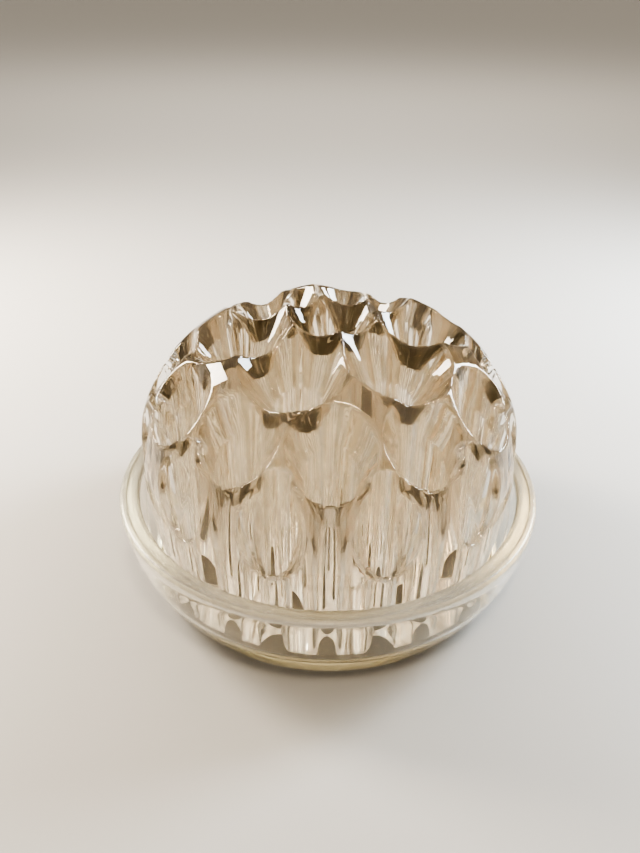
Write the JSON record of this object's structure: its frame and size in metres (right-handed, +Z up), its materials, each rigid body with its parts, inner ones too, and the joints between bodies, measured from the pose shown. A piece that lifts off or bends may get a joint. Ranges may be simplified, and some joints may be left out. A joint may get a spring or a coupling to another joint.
{
  "type": "tealight holder",
  "caption": "Heavy domed clear glass insert pierced by vertical tubes and oval side windows, standing loose in a shallow round glass dish.",
  "frame": {"origin": "centre of the dish's foot, on the surface it stands on", "axes": "+Z up along the axis of the dish and dome; -Y is the front, where a tube of the middle ring faces the viewer"},
  "size_m": [0.17, 0.17, 0.1116],
  "materials": {
    "rim_glass": "clear, faintly warm, fire-polished with a slightly frosted rim",
    "clear_glass": "clear, fire-polished"
  },
  "bodies": {
    "dish": {"dish": "rim_glass"},
    "insert": {"insert": "clear_glass"}
  },
  "joints": [
    {"name": "insert_lift", "type": "slide", "parent": "dish", "child": "insert", "axis": [0, 0, 1], "range_m": [0, 0.06]}
  ]
}
